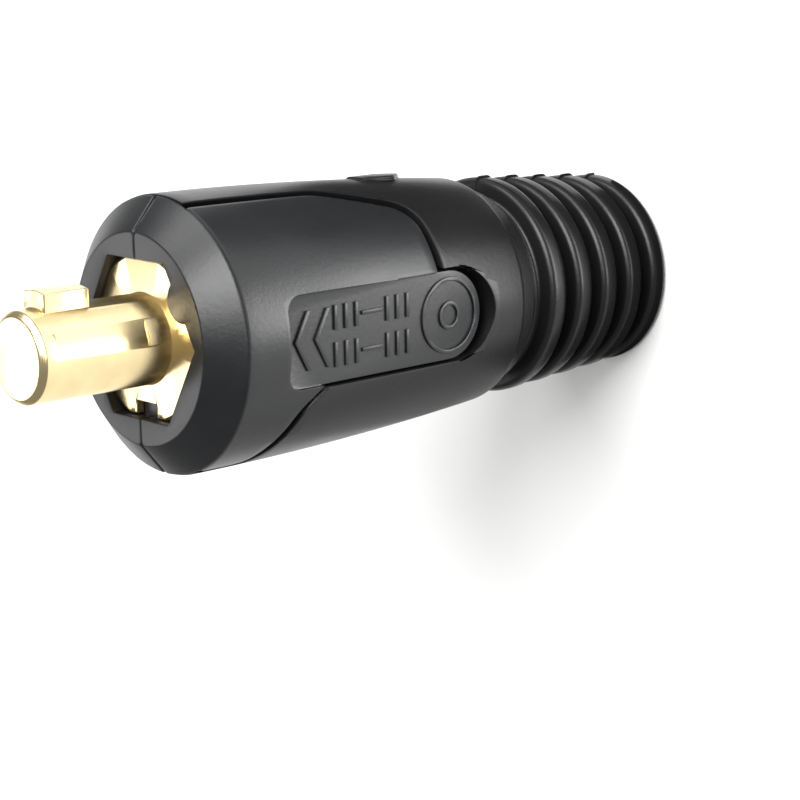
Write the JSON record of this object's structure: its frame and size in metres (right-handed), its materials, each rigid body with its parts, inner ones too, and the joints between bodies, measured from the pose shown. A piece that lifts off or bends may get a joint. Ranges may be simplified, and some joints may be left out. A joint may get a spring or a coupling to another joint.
{
  "type": "welding cable plug",
  "caption": "Twist-lock welding cable plug: a brass pin with a side lug in a black two-shell nose, held by a ribbed rubber sleeve with a cable bore.",
  "frame": {"origin": "centre of the flat tail end of the rubber sleeve, on the surface that the plug stands on", "axes": "+Z along the plug's axis towards the tip of the pin, +X towards the side with the marking panel that the picture shows, +Y towards the locking lug and the alignment mark"},
  "size_m": [0.04, 0.04, 0.113],
  "materials": {
    "contact_brass": "fine turned brass, bright, with soft machining rings",
    "shell_plastic": "matt black moulded plastic with a fine grain",
    "sleeve_rubber": "matt black rubber with a soft sheen",
    "copper": "rolled copper sheet",
    "screw_steel": "zinc-plated steel"
  },
  "bodies": {
    "sleeve": {"rear_sleeve": "sleeve_rubber"},
    "plug_front": {"contact": "contact_brass", "front_shell_near": "shell_plastic", "front_shell_far": "shell_plastic", "cable_sleeve": "copper"},
    "screw_rear": {"clamp_screw_rear": "screw_steel"},
    "screw_front": {"clamp_screw_front": "screw_steel"}
  },
  "joints": [
    {"name": "sleeve_slide", "type": "slide", "parent": "sleeve", "child": "plug_front", "axis": [0, 0, 1], "range_m": [0, 0.06]},
    {"name": "screw_rear_clamp", "type": "slide", "parent": "plug_front", "child": "screw_rear", "axis": [0, -1, 0], "range_m": [0, 0.0012]},
    {"name": "screw_front_clamp", "type": "slide", "parent": "plug_front", "child": "screw_front", "axis": [0, -1, 0], "range_m": [0, 0.0012]}
  ]
}
